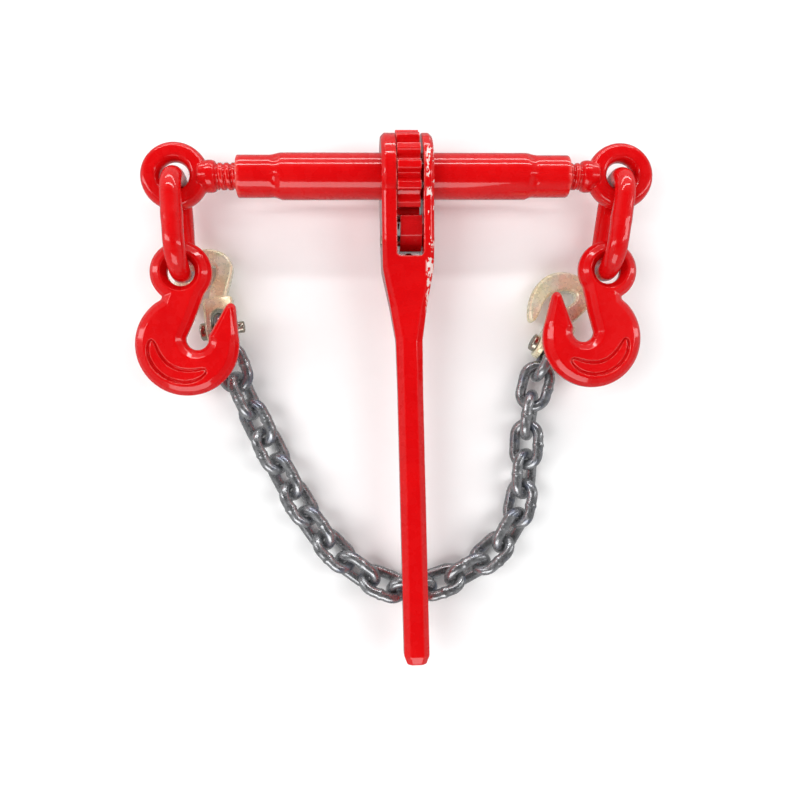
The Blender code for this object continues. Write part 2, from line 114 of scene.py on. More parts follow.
# Chain and plated hooks
WIRE_R, CHAIN_END_R, CHAIN_STRAIGHT, CHAIN_LINKS = 4.0, 9.75, 12.5, 22
WELD_RISE, WELD_LENGTH, LINK_SIDE_STEPS = 0.55, 1.5, 14
PIN_R, EAR_OUT, CLEVIS_TILT = 4.4, 11.0, 7.3
CLEVIS_TURNS = {"left": 7.0, "right": -27.0}
SPLIT_PLACE, SPLIT_HOLE_R = EAR_OUT + 2.6, 1.5

# The floor: half its width, and the heights of its underside and its top
FLOOR_HALF, FLOOR_LOW, FLOOR_TOP = 3000, -0.2, -0.05

# Camera: its place, its turns in degrees and its lens in millimetres
CAMERA_PLACE = Vector((-0.0381, -0.0016, 0.6317))
CAMERA_YAW, CAMERA_ROLL, CAMERA_LENS = -3.5, -0.93, 36.33


# Materials

def add(made, kind, **values):
    """A shader node, with values for its sockets by name, or for its own settings."""
    node = made.node_tree.nodes.new(kind)
    for name, value in values.items():
        socket = name.replace("_", " ").title()
        if socket in node.inputs:
            node.inputs[socket].default_value = value
        else:
            setattr(node, name, value)
    return node


def link(made, source, target):
    made.node_tree.links.new(source, target)


def new_material(name, **constants):
    """A Principled material. Its constants are set on the shader's own sockets."""
    made = bpy.data.materials.new(name)
    made.use_nodes = True
    shader = made.node_tree.nodes["Principled BSDF"]
    for key, value in constants.items():
        shader.inputs[key.replace("_", " ").title().replace("Ior", "IOR")].default_value = value
    return made, shader


def noise(made, scale, detail=3.0, rough=0.5, stretch=None):
    """Noise over the object's own coordinates. The scale is in cells per metre."""
    place = add(made, "ShaderNodeTexCoord").outputs["Object"]
    if stretch:
        mapping = add(made, "ShaderNodeMapping")
        mapping.inputs["Scale"].default_value = stretch
        link(made, place, mapping.inputs["Vector"])
        place = mapping.outputs["Vector"]
    node = add(made, "ShaderNodeTexNoise", scale=scale, detail=detail, roughness=rough)
    link(made, place, node.inputs["Vector"])
    return node.outputs["Fac"]


def span(made, value, low, high, to_low=0.0, to_high=1.0):
    """A value's range mapped to another, with smooth ends."""
    node = add(made, "ShaderNodeMapRange", interpolation_type="SMOOTHSTEP")
    link(made, value, node.inputs["Value"])
    for name, number in (("From Min", low), ("From Max", high), ("To Min", to_low), ("To Max", to_high)):
        node.inputs[name].default_value = number
    return node.outputs["Result"]


def maths(made, operation, a, b):
    node = add(made, "ShaderNodeMath", operation=operation)
    for socket, value in zip(node.inputs, (a, b)):
        if isinstance(value, (int, float)):
            socket.default_value = value
        else:
            link(made, value, socket)
    return node.outputs[0]


def mixed(made, factor, a, b):
    """One colour mixed into another. Either may be a colour or another node's output."""
    node = add(made, "ShaderNodeMix", data_type="RGBA")
    link(made, factor, node.inputs[0])
    for socket, colour in ((node.inputs[6], a), (node.inputs[7], b)):
        if isinstance(colour, tuple):
            socket.default_value = (*colour, 1.0)
        else:
            link(made, colour, socket)
    return node.outputs[2]


def bumped(made, shader, *layers):
    """Bump layers, each a height, a strength and a distance in metres."""
    normal = None
    for height, strength, distance in layers:
        node = add(made, "ShaderNodeBump")
        node.inputs["Strength"].default_value = strength
        node.inputs["Distance"].default_value = distance
        link(made, height, node.inputs["Height"])
        if normal:
            link(made, normal, node.inputs["Normal"])
        normal = node.outputs["Normal"]
    link(made, normal, shader.inputs["Normal"])


def sharpness(made, low, high):
    """How convex a dense mesh is, from 0 to 1. A flat place is 0.5 before the range is mapped."""
    return span(made, add(made, "ShaderNodeNewGeometry").outputs["Pointiness"], low, high)


def red_enamel(name, deep=(0.59, 0.0015, 0.003), bright=(0.66, 0.003, 0.004), wear=0.0):
    """Thick glossy enamel: a slow change of tone, painted shade in its hollows, orange peel, pale edges
    that are partly thinned enamel and partly a painted highlight, and a few chips.
    """
    coat = {"coat_weight": 0.85, "coat_roughness": 0.05, "coat_ior": 1.5}
    made, shader = new_material(name, specular_ior_level=0.12, **coat)
    tone = mixed(made, span(made, noise(made, 30.0, 2.0), 0.2, 0.8), deep, bright)
    # Painted shade: the concave places of the mesh are darkened to a deep red.
    tone = mixed(made, sharpness(made, 0.34, 0.46), (0.34, 0.001, 0.002), tone)
    # Pale lines along sharp edges: partly enamel thinned on the edges, partly a painted highlight where the
    # bevels meet the flat faces.
    patchy = span(made, noise(made, 260.0, 3.0), 0.34, 0.56)
    thinned_and_highlit_edges = maths(made, "MULTIPLY", sharpness(made, 0.515, 0.57), patchy)
    tone = mixed(made, maths(made, "MULTIPLY", thinned_and_highlit_edges, 0.7), tone, (0.86, 0.26, 0.22))
    chipped = span(made, noise(made, 620.0, 5.0, 0.7), 0.64, 0.68)
    chips = maths(made, "MULTIPLY", sharpness(made, 0.52, 0.6), chipped)
    if wear:
        chips = maths(made, "MAXIMUM", chips, worn_cheek(made, wear))
    tone = mixed(made, chips, tone, (0.80, 0.66, 0.62))
    link(made, tone, shader.inputs["Base Color"])
    link(made, span(made, noise(made, 120.0, 3.0), 0.3, 0.7, 0.2, 0.34), shader.inputs["Roughness"])
    bumped(
        made, shader,
        (noise(made, 130.0, 2.0), 0.28, 0.0009),
        (noise(made, 520.0, 2.0, 0.4), 0.2, 0.00022),
        (chips, -0.5, 0.0002),
    )
    return made


def worn_cheek(made, strength):
    """Scuffs on the right cheek of the handle's head and down its right chamfer."""
    place = add(made, "ShaderNodeSeparateXYZ")
    link(made, add(made, "ShaderNodeTexCoord").outputs["Object"], place.inputs[0])
    right_of = span(made, place.outputs[0], 10.0 * MM, 12.0 * MM)
    above = span(made, place.outputs[2], 4 * MM, 9 * MM)
    worn = 0.0
    for middle, reach in SCUFFS:
        away = maths(made, "ABSOLUTE", maths(made, "SUBTRACT", place.outputs[1], middle * MM), 0.0)
        worn = maths(made, "ADD", worn, span(made, away, reach * MM, reach * 0.5 * MM))
    scratched = noise(made, 230.0, 4.0, 0.65, (1.3, 0.6, 1.0))
    blotches = span(made, maths(made, "ADD", scratched, maths(made, "MULTIPLY", worn, 0.085)), 0.58, 0.61)
    mask = maths(made, "MULTIPLY", right_of, above)
    return maths(made, "MULTIPLY", maths(made, "MULTIPLY", mask, blotches), strength)


def chain_steel(name):
    """Oiled self-coloured steel: patches of dark scale, bluish stains and bright rubbed specks."""
    made, shader = new_material(name, coat_weight=0.5, coat_roughness=0.12)
    scale = span(made, noise(made, 160.0, 3.0), 0.3, 0.7)
    tone = mixed(made, scale, (0.27, 0.275, 0.285), (0.44, 0.445, 0.46))
    tone = mixed(made, span(made, noise(made, 700.0, 3.0, 0.6), 0.6, 0.75), tone, (0.56, 0.57, 0.58))
    tone = mixed(made, span(made, noise(made, 90.0, 2.0), 0.55, 0.72), tone, (0.20, 0.22, 0.28))
    link(made, tone, shader.inputs["Base Color"])
    link(made, span(made, noise(made, 420.0, 4.0), 0.3, 0.7, 0.22, 0.38), shader.inputs["Roughness"])
    link(made, span(made, noise(made, 300.0, 2.0), 0.3, 0.7, 0.72, 0.86), shader.inputs["Metallic"])
    bumped(
        made, shader,
        (noise(made, 150.0, 1.0), 0.15, 0.0004),
        (noise(made, 700.0, 2.0), 0.06, 0.0001),
    )
    return made


def zinc_plate(name):
    """Yellow passivated zinc: pale gold, with greenish and pinkish films, and a forged skin."""
    made, shader = new_material(name, metallic=0.35, coat_weight=0.4, coat_roughness=0.12)
    golden = span(made, noise(made, 70.0, 3.0), 0.35, 0.65)
    tone = mixed(made, golden, (0.84, 0.77, 0.50), (0.93, 0.89, 0.70))
    greenish = span(made, noise(made, 60.0, 2.0, 0.5, (1.0, 1.6, 0.8)), 0.55, 0.85)
    tone = mixed(made, greenish, tone, (0.66, 0.68, 0.42))
    pinkish = span(made, noise(made, 75.0, 2.0, 0.5, (1.5, 0.8, 1.0)), 0.62, 0.9)
    tone = mixed(made, pinkish, tone, (0.72, 0.56, 0.42))
    link(made, tone, shader.inputs["Base Color"])
    link(made, span(made, noise(made, 300.0, 3.0), 0.3, 0.7, 0.2, 0.36), shader.inputs["Roughness"])
    bumped(
        made, shader,
        (noise(made, 110.0, 2.0), 0.25, 0.0007),
        (noise(made, 700.0, 2.0), 0.1, 0.00012),
    )
    return made


def bare_steel(name, dark, light, rough):
    """Turned or drawn steel, with a fine grain and a slightly dull film."""
    made, shader = new_material(name, metallic=1.0)
    tone = mixed(made, span(made, noise(made, 240.0, 3.0), 0.3, 0.7), dark, light)
    link(made, tone, shader.inputs["Base Color"])
    film = span(made, noise(made, 500.0, 3.0), 0.3, 0.7, rough, rough + 0.16)
    link(made, film, shader.inputs["Roughness"])
    bumped(made, shader, (noise(made, 900.0, 3.0, 0.6), 0.25, 0.00015))
    return made


def paper(name):
    """The pale floor, with a very faint grain."""
    made, shader = new_material(name, roughness=0.85)
    tone = mixed(made, noise(made, 60.0, 3.0), (0.93, 0.93, 0.93), (0.95, 0.95, 0.95))
    link(made, tone, shader.inputs["Base Color"])
    bumped(made, shader, (noise(made, 800.0, 2.0), 0.05, 0.0001))
    return made


# Shapes

def along_x(p):
    return (p[2], p[0], p[1])


def along_y(p):
    return (p[0], -p[2], p[1])


def as_is(p):
    return p


def circle(radius, t, sides, cx=0.0):
    angles = [2 * pi * i / sides for i in range(sides)]
    return [(cx + radius * cos(a), radius * sin(a), t) for a in angles]


def turned(profile, sides, axis, loop=False, cx=0.0):
    """A turned body. The profile lists places along the axis, each with its radius."""
    return [[axis(p) for p in circle(r, t, sides, cx)] for t, r in profile], loop


def arc(cx, cy, radius, start, end, steps):
    """Points on an arc, with both ends, from one angle to the other in degrees."""
    angles = [radians(start + (end - start) * i / steps) for i in range(steps + 1)]
    return [(cx + radius * cos(a), cy + radius * sin(a)) for a in angles]


def inset(outline, amount):
    """An anticlockwise outline moved inwards by an amount."""
    moved = []
    for i, here in enumerate(outline):
        before, after = outline[i - 1], outline[(i + 1) % len(outline)]
        normals = []
        for (ax, ay), (bx, by) in ((before, here), (here, after)):
            length = hypot(bx - ax, by - ay)
            normals.append(((ay - by) / length, (bx - ax) / length))
        (n1x, n1y), (n2x, n2y) = normals
        scale = amount / (1.0 + n1x * n2x + n1y * n2y)
        moved.append((here[0] + (n1x + n2x) * scale, here[1] + (n1y + n2y) * scale))
    return moved


def extruded(outline, levels, axis):
    """An outline extruded through levels, each a height and an inset."""
    return [[axis((x, y, t)) for x, y in inset(outline, by)] for t, by in levels], False


def thickness(outline):
    """How far each point of an outline is from the far side, straight across from it."""
    inner = inset(outline, 0.01)
    far_away, parallel, just_past = 1000.0, 1e-9, 0.3
    found = []
    for (x, y), (ix, iy) in zip(outline, inner):
        dx, dy = (ix - x) / hypot(ix - x, iy - y), (iy - y) / hypot(ix - x, iy - y)
        nearest = far_away
        for (ax, ay), (bx, by) in zip(outline, outline[1:] + outline[:1]):
            cross = dx * (by - ay) - dy * (bx - ax)
            if abs(cross) < parallel:
                continue
            along = ((ax - x) * (by - ay) - (ay - y) * (bx - ax)) / cross
            across = ((ax - x) * dy - (ay - y) * dx) / cross
            if along > just_past and 0.0 <= across <= 1.0:
                nearest = min(nearest, along)
        found.append(nearest)
    return found


def bevelled_plate(outline, half, depth, width):
    """A plate with broad bevels of two facets each, which narrow where the plate itself is narrow."""
    limits = [min(width, 0.36 * across) for across in thickness(outline)]
    for _ in range(6):
        after = limits[1:] + limits[:1]
        before = limits[-1:] + limits[:-1]
        limits = [min(here, (back + here + on) / 3) for back, here, on in zip(before, limits, after)]
    full = inset(outline, 1.0)
    rings = []
    low = [(-half, 1.0), (-half + 0.4 * depth, 0.4), (-half + depth, 0.0)]
    for t, share in low + [(-t, by) for t, by in reversed(low)]:
        rings.append([
            (x + (fx - x) * limit * share, y + (fy - y) * limit * share, t)
            for (x, y), (fx, fy), limit in zip(outline, full, limits)
        ])
    return rings, False


def mesh_of(name, rings, loop):
    """A closed mesh through rings of points, capped at its ends or joined into a loop."""
    bm = bmesh.new()
    rows = [[bm.verts.new(Vector(p) * MM) for p in ring] for ring in rings]
    pairs = list(zip(rows, rows[1:]))
    if loop:
        pairs.append((rows[-1], rows[0]))
    else:
        bm.faces.new(rows[0][::-1])
        bm.faces.new(rows[-1])
    for low, high in pairs:
        for i in range(len(low)):
            j = (i + 1) % len(low)
            bm.faces.new((low[i], low[j], high[j], high[i]))
    bmesh.ops.recalc_face_normals(bm, faces=bm.faces)
    mesh = bpy.data.meshes.new(name)
    bm.to_mesh(mesh)
    bm.free()
    mesh.shade_smooth()
    return mesh


def piece(name, shape, made, place, rotation=None):
    """A named piece at its place, with its mesh made about its own origin."""
    obj = bpy.data.objects.new(name, mesh_of(name, *shape))
    bpy.context.scene.collection.objects.link(obj)
    obj.data.materials.append(made)
    turn = rotation.to_4x4() if rotation else Matrix.Identity(4)
    obj.matrix_world = Matrix.Translation(place) @ turn
    return obj


def combine(obj, shape, operation):
    """Joins a second body to a piece, or cuts it away, and leaves nothing else behind."""
    other = bpy.data.objects.new(f"{obj.name}_tool", mesh_of(f"{obj.name}_tool", *shape))
    bpy.context.scene.collection.objects.link(other)
    other.matrix_world = obj.matrix_world
    step = obj.modifiers.new(operation.title(), "BOOLEAN")
    step.operation = operation
    step.solver = "EXACT"
    step.object = other
    apply_modifiers(obj)
    bpy.data.objects.remove(other)


def apply_modifiers(obj):
    bpy.context.view_layer.update()
    evaluated = obj.evaluated_get(bpy.context.evaluated_depsgraph_get())
    mesh = bpy.data.meshes.new_from_object(evaluated)
    obj.modifiers.clear()
    obj.data = mesh


def forged(obj, voxel, smoothing):
    """Fine even faces whose edges run into each other softly, as on forged and cast metal."""
    fine = obj.modifiers.new("Fine", "REMESH")
    fine.mode = "VOXEL"
    fine.voxel_size = voxel * MM
    fine.use_smooth_shade = True
    soft = obj.modifiers.new("Soft", "SMOOTH")
    soft.factor = 0.5
    soft.iterations = smoothing


def welded(obj):
    """Joins the corners of a CAD node's triangles, so that its faces share them."""
    weld = obj.modifiers.new("Weld", "WELD")
    weld.merge_threshold = 0.00001


def sharp_edges(obj, width, angle):
    """Small rounded edges on a machined piece."""
    bevel = obj.modifiers.new("Bevel", "BEVEL")
    bevel.width = width * MM
    bevel.segments = 2
    bevel.limit_method = "ANGLE"
    bevel.angle_limit = radians(angle)
    bevel.harden_normals = True


def settle(obj, body, slot, *nodes):
    """Rides on a CAD body and stands for CAD nodes. The slot is not used."""
    place, rotation, _ = obj.matrix_world.decompose()
    obj.data.transform(rotation.to_matrix().to_4x4())
    obj.matrix_world = Matrix.Translation(place)
    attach(obj, body)
    if nodes:
        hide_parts(*nodes)


def turn_matrix(tilt, turn):
    """Tilted about X, then turned about Z, in degrees."""
    return Euler((radians(tilt), 0.0, radians(turn))).to_matrix()


def lie_of(node):
    """The centre of a long flat CAD node, and its axes: along it, across it and out of its plane.

    The long axis points to the right. The one across it, where a link's weld is, points up, or the
    third one does if the node lies flat.
    """
    mesh = frame["nodes"][node].data
    points = np.empty(len(mesh.vertices) * 3)
    mesh.vertices.foreach_get("co", points)
    points = np.unique(np.round(points.reshape(-1, 3), 5), axis=0)
    middle = (points.max(axis=0) + points.min(axis=0)) / 2
    _, axes = np.linalg.eigh(np.cov((points - points.mean(axis=0)).T))
    long, out = Vector(axes[:, 2]), Vector(axes[:, 0])
    long = long if long.x + 0.3 * long.y > 0 else -long
    out = out if out.cross(long).z + 0.01 * out.z > 0 else -out
    return Vector(middle), Matrix((long, out.cross(long), out)).transposed()


def link_rings(half_width, straight, wire_r, sides, end_steps, weld_rise, weld_length):
    """A welded link lying along X in the XY plane, with its weld's bead halfway along one side."""
    half = straight / 2
    steps = LINK_SIDE_STEPS
    path = arc(half, 0, half_width, -90, 90, end_steps)
    path += [(half - straight * i / steps, half_width) for i in range(1, steps)]
    path += arc(-half, 0, half_width, 90, 270, end_steps)
    path += [(-half + straight * i / steps, -half_width) for i in range(1, steps)]
    rings = []
    for i, (x, y) in enumerate(path):
        (ax, ay), (bx, by) = path[i - 1], path[(i + 1) % len(path)]
        length = hypot(bx - ax, by - ay)
        nx, ny = (by - ay) / length, (ax - bx) / length
        bead = weld_rise * exp(-((x / weld_length) ** 2)) if y > half_width - 0.1 else 0.0
        ring = []
        for k in range(sides):
            a = 2 * pi * k / sides
            r = wire_r + bead * (1.0 + 0.35 * sin(3 * a + 1.0))
            ring.append((x + nx * r * cos(a), y + ny * r * cos(a), r * sin(a)))
        rings.append(ring)
    return rings, True


# Pieces

def make_barrel(red):
    low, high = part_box("barrel_tube")
    left, right = (low.x - AXIS.x) / MM, (high.x - AXIS.x) / MM
    places = [left, left + 0.3, left + BARREL_EDGE]
    radii = [BARREL_END_R - BARREL_EDGE, BARREL_END_R - 0.4, BARREL_END_R]
    mouth_r = BARREL_BORE_R + BARREL_MOUTH
    left_mouth = [circle(mouth_r, left, ROUND), circle(BARREL_BORE_R, left + BARREL_MOUTH, ROUND)]
    right_mouth = [circle(BARREL_BORE_R, right - BARREL_MOUTH, ROUND), circle(mouth_r, right, ROUND)]
    outer = [circle(r, t, ROUND) for t, r in zip(places, radii)]
    plain = BARREL_END_LENGTH - BARREL_EDGE
    for i in range(1, END_STEPS + 1):
        outer.append(circle(BARREL_END_R, left + BARREL_EDGE + plain * i / END_STEPS, ROUND))
    for i in range(1, TAPER_STEPS + 1):
        outer.append(crimped(left + BARREL_END_LENGTH, 1, i / TAPER_STEPS))
    from_left = left + BARREL_END_LENGTH + BARREL_TAPER
    length = right - left - 2 * (BARREL_END_LENGTH + BARREL_TAPER)
    for i in range(1, MIDDLE_STEPS):
        outer.append(circle(BARREL_R, from_left + length * i / MIDDLE_STEPS, ROUND))
    for i in range(TAPER_STEPS, -1, -1):
        outer.append(crimped(right - BARREL_END_LENGTH, -1, i / TAPER_STEPS))
    for i in range(END_STEPS - 1, -1, -1):
        outer.append(circle(BARREL_END_R, right - BARREL_EDGE - plain * i / END_STEPS, ROUND))
    outer.append(circle(BARREL_END_R - 0.4, right - 0.3, ROUND))
    outer.append(circle(BARREL_END_R - BARREL_EDGE, right, ROUND))
    shape = [[along_x(p) for p in ring] for ring in outer + right_mouth[::-1] + left_mouth[::-1]]
    tube = piece("barrel", (shape, True), red, AXIS)
    settle(tube, "barrel", "red_enamel", "barrel_tube")


def crimped(start, direction, part):
    """A ring of the barrel's taper, pressed in by the swaging tool at a few places round it."""
    rise = part * part * (3 - 2 * part)
    base = BARREL_END_R + (BARREL_R - BARREL_END_R) * rise
    depth = CRIMP_DEPTH * sin(pi * part) ** 2
    t = start + direction * BARREL_TAPER * part
    ring = []
    for i in range(ROUND):
        a = 2 * pi * i / ROUND
        r = base - depth * (0.5 + 0.5 * cos(CRIMPS * (a - pi / 4))) ** 3
        ring.append((r * cos(a), r * sin(a), t))
    return ring


def make_gear(red):
    low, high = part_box("ratchet_gear")
    pitch = 360.0 / GEAR_TEETH
    outline = []
    for tooth in range(GEAR_TEETH):
        for angle, radius in GEAR_TOOTH:
            a = radians(pitch * (tooth + 0.5) + angle)
            outline.append((radius * cos(a), radius * sin(a)))
    left, right = (low.x - AXIS.x) / MM, (high.x - AXIS.x) / MM
    gear = piece("ratchet_gear_teeth", extruded(outline, ((left, 0.0), (right, 0.0)), along_x), red, AXIS)
    combine(gear, turned([(left - 2, GEAR_BORE_R), (right + 2, GEAR_BORE_R)], ROUND, along_x), "DIFFERENCE")
    forged(gear, 0.45, 3)
    settle(gear, "barrel", "red_enamel", "ratchet_gear")


def make_handle(red):
    rings = []
    for y, cx, w, t, c in HANDLE_SECTIONS:
        rings.append([(cx + u, y, v) for u, v in (
            (w, t - c), (w - c, t), (c - w, t), (-w, t - c),
            (-w, c - t), (c - w, -t), (w - c, -t), (w, c - t),
        )])
    handle = piece("handle_forging", (rings, False), red, AXIS)
    head = ((HEAD_LEFT, HEAD_R - HEAD_EDGE), (HEAD_LEFT + HEAD_EDGE, HEAD_R),
            (HEAD_RIGHT - HEAD_EDGE, HEAD_R), (HEAD_RIGHT, HEAD_R - HEAD_EDGE))
    combine(handle, turned(head, 128, along_x), "UNION")
    slot = [(SLOT_RIGHT, HEAD_R + CUT), (SLOT_LEFT, HEAD_R + CUT)]
    slot += arc(SLOT_LEFT + SLOT_CORNER, SLOT_END + SLOT_CORNER, SLOT_CORNER, 180, 270, 8)
    slot += arc(SLOT_RIGHT - SLOT_CORNER, SLOT_END + SLOT_CORNER, SLOT_CORNER, 270, 360, 8)
    beyond = HEAD_R + CUT
    combine(handle, extruded(slot, ((-beyond, 0.0), (beyond, 0.0)), as_is), "DIFFERENCE")
    through = (HEAD_LEFT - 5, HEAD_RIGHT + 5)
    combine(handle, turned([(x, HEAD_BORE_R) for x in through], ROUND, along_x), "DIFFERENCE")
    combine(handle, turned([(x, PAWL_HOLE_R) for x in through], 40, along_x, cx=PAWL_PLACE), "DIFFERENCE")
    detent = [(-SLOT_END - 3, DETENT_HOLE_R), (-SLOT_END + DETENT_DEPTH, DETENT_HOLE_R)]
    combine(handle, turned(detent, 32, along_y, cx=DETENT_X), "DIFFERENCE")
    forged(handle, 0.6, 5)
    settle(handle, "handle", "red_enamel", "handle")


def make_pawl(red):
    half = list(PAWL_HALF)
    outline = half + [(y, -z) for y, z in half[:0:-1]]
    area = sum(a[0] * b[1] - a[1] * b[0] for a, b in zip(outline, outline[1:] + outline[:1]))
    outline = outline if area > 0 else outline[::-1]
    place = AXIS + Vector((0.0, PAWL_PLACE * MM, 0.0))
    levels = ((PAWL_LEFT, 0.0), (PAWL_RIGHT, 0.0))
    pawl = piece("pawl_forging", extruded(outline, levels, along_x), red, place)
    hole = [(PAWL_LEFT - 5, PAWL_HOLE_R), (PAWL_RIGHT + 5, PAWL_HOLE_R)]
    combine(pawl, turned(hole, 40, along_x), "DIFFERENCE")
    forged(pawl, 0.4, 6)
    settle(pawl, "pawl", "pawl_red", "pawl")


def make_eye(side, mirror, place, red):
    hole = arc(0, 0, 1, 90, -90, 12)
    profile = [(RING_HALF * y, RING_HOLE_R + RING_HOLE_ROUNDING * (1 - x)) for x, y in hole]
    for x, y in arc(0, 0, 1, -90, 90, 16):
        profile.append((RING_HALF * y, RING_R - RING_CROWN_ROUNDING * (1 - max(x, 0.0) ** 0.8)))
    ring = piece(f"{side}_eye", turned(profile, ROUND, as_is, loop=True), red, place)
    shank = [(RING_HOLE_R + 7.0, NECK_R - 1.5), (RING_R - 1.0, NECK_R), (NECK_END - 3.0, NECK_R),
             (NECK_END - 0.6, NECK_R - 0.9), (NECK_END, THREAD_R - 0.6), (NECK_END + 2.0, THREAD_R - 1.4)]
    combine(ring, turned([(mirror * x, r) for x, r in shank], 64, along_x), "UNION")
    forged(ring, 0.55, 6)
    settle(ring, f"{side}_eye_bolt", "red_enamel", f"{side}_eye_bolt")


def make_thread(side, mirror, place, red):
    """A true helix, left-handed on one side. It narrows at its end inside the barrel."""
    start = NECK_END + 1.0
    rings = []
    for i in range(int((THREAD_END - NECK_END + 1.0) / THREAD_STEP) + 1):
        t = start + THREAD_STEP * i
        fade = min(1.0, (THREAD_END + 2.0 - t) / THREAD_LEAD_OUT)
        ring = []
        for k in range(THREAD_SIDES):
            a = 2 * pi * k / THREAD_SIDES
            turn = (t / THREAD_PITCH - a / (2 * pi)) % 1.0
            crest = min(1.0, max(0.0, 2.1 - abs(turn - 0.5) * 5.0))
            r = (THREAD_R - THREAD_DEPTH + THREAD_DEPTH * crest) * (0.88 + 0.12 * fade)
            ring.append(along_x((r * cos(a), r * sin(a), mirror * t)))
        rings.append(ring)
    thread = piece(f"{side}_thread", (rings, False), red, place)
    settle(thread, f"{side}_eye_bolt", "red_enamel")


def make_red_link(side, red):
    middle, turn = lie_of(f"{side}_link")
    rings = link_rings(LINK_HALF_WIDTH, LINK_STRAIGHT, ROD_R, 40, 32, 0.35, 4.0)
    rod = piece(f"{side}_joining_link", rings, red, middle, turn)
    settle(rod, f"{side}_link", "red_enamel", f"{side}_link")


def hook_outline():
    """The eye grab hook, with its eye at the origin and its body below."""
    outline = arc(0, 0, EYE_R, -47, 228, 66)
    outline += [(-15.6, -18.6)]
    outline += arc(0, HOOK_BODY_Y, HOOK_BODY_R, 123, 366, 72)
    outline += arc(TIP_X, TIP_Y, TIP_R, 0, 150, 12)
    outline += arc(THROAT_X, THROAT_Y, THROAT_R, 8, -188, 27)
    outline += [(6.6, -34.0)]
    return outline


def crescent(mirror, margin):
    """The recessed crescent in a hook's face, inset by a margin, with rounded ends."""
    half, steps = POCKET_HALF - margin, 48
    outer, inner = [], []
    for i in range(steps + 1):
        part = i / steps
        angle = radians(POCKET_START + 1.2 * margin + (POCKET_SPAN - 2.4 * margin) * part)
        reach = half * (1 - abs(2 * part - 1) ** 3) ** 0.5
        for side, radius in ((outer, POCKET_R + reach), (inner, POCKET_R - reach)):
            side.append((mirror * (radius * cos(angle)), HOOK_BODY_Y + 1.0 + radius * sin(angle)))
    outline = outer + inner[-2:0:-1]
    return outline if mirror > 0 else outline[::-1]


def make_grab_hook(side, mirror, turn, tilt, red):
    flip = [(mirror * x, y) for x, y in hook_outline()]
    outline = flip if mirror > 0 else flip[::-1]
    eye = Vector(PLACES[f"{side}_hook_swing"])
    shape = bevelled_plate(outline, HOOK_HALF, HOOK_BEVEL_DEPTH, HOOK_BEVEL)
    hook = piece(f"{side}_grab_hook_forging", shape, red, eye, turn_matrix(tilt, turn))
    hole = [(-HOOK_HALF - 2, EYE_FLARE_R + 1.2), (-HOOK_HALF, EYE_FLARE_R), (-2.5, EYE_HOLE_R),
            (2.5, EYE_HOLE_R), (HOOK_HALF, EYE_FLARE_R), (HOOK_HALF + 2, EYE_FLARE_R + 1.2)]
    combine(hook, turned(hole, 80, as_is), "DIFFERENCE")
    for face in (1, -1):
        floor, above = (face * (HOOK_HALF - POCKET_DEPTH), 0.6), (face * (HOOK_HALF + 2), 0.0)
        pocket = (floor, above) if face > 0 else (above, floor)
        combine(hook, extruded(crescent(mirror, 0.0), pocket, as_is), "DIFFERENCE")
        foot, top = (face * (HOOK_HALF - 3.5), 0.0), (face * (HOOK_HALF - 0.6), 0.5)
        rib = (foot, top) if face > 0 else (top, foot)
        combine(hook, extruded(crescent(mirror, RIB_MARGIN), rib, as_is), "UNION")
    forged(hook, 0.5, 3)
    settle(hook, f"{side}_grab_hook", "red_enamel", f"{side}_grab_hook")


def make_chain(steel):
    for i in range(CHAIN_LINKS):
        node = f"chain_link_{i + 1:02d}"
        middle, turn = lie_of(node)
        rings = link_rings(CHAIN_END_R, CHAIN_STRAIGHT, WIRE_R, 24, 20, WELD_RISE, WELD_LENGTH)
        loop = piece(f"link_{i + 1:02d}", rings, steel, middle, turn)
        settle(loop, node, "chain_steel", node)


def make_load_pin(side, place, turn, steel):
    head = -EAR_OUT - 0.3
    pin = [(head - 4.6, 4.6), (head - 4.4, 5.6), (head - 3.8, 6.3), (head - 3.0, 6.6), (head - 0.3, 6.6),
           (head, 6.3), (head, PIN_R + 0.3), (head + 0.3, PIN_R), (EAR_OUT + 5.4, PIN_R),
           (EAR_OUT + 5.9, PIN_R - 0.3), (EAR_OUT + 6.2, PIN_R - 1.0)]
    load_pin = piece(f"{side}_load_pin", turned(pin, 48, along_x), steel, place, turn)
    hole = [(-CUT, SPLIT_HOLE_R), (CUT, SPLIT_HOLE_R)]
    combine(load_pin, turned(hole, 24, as_is, cx=SPLIT_PLACE), "DIFFERENCE")
    forged(load_pin, 0.3, 2)
    settle(load_pin, f"{side}_clevis_pin", "pin_steel", f"{side}_clevis_pin")


def make_cotter(side, place, turn, steel):
    """The split pin's closed legs and round head, as one turned body."""
    legs = [(-6.6, 0.7), (-6.0, 1.1), (5.2, 1.1)]
    split = legs + [(5.6, 2.0), (6.2, 2.3), (7.2, 2.3), (7.9, 1.9), (8.2, 1.2)]
    cotter = piece(f"{side}_cotter", turned(split, 24, as_is, cx=SPLIT_PLACE), steel, place, turn)
    settle(cotter, f"{side}_clevis_pin", "pin_steel", f"{side}_split_pin")


def make_clevis_hook(side, zinc):
    """The plated hook keeps its CAD node, made fine and soft."""
    hook = frame["nodes"][f"{side}_clevis_hook"]
    welded(hook)
    forged(hook, 0.4, 8)
    dress(f"{side}_clevis_hook", zinc)


def dress(node, made):
    """Gives a carried-over CAD node its material."""
    obj = frame["nodes"][node]
    obj.data.materials.clear()
    obj.data.materials.append(made)


def make_small_parts(steel, spring):
    for node, made in (("pawl_pin", steel), ("pawl_plunger", steel), ("pawl_spring", spring)):
        dress(node, made)
        welded(frame["nodes"][node])
    sharp_edges(frame["nodes"]["pawl_pin"], 0.25, 35.0)


# Stage

def make_floor():
    corners = ((-1, -1), (1, -1), (1, 1), (-1, 1))
    shape = [[(FLOOR_HALF * x, FLOOR_HALF * y, z) for x, y in corners] for z in (FLOOR_LOW, FLOOR_TOP)]
    floor = piece("floor", (shape, False), paper("paper"), Vector((0.0, 0.0, 0.0)))
    floor.visible_glossy = False


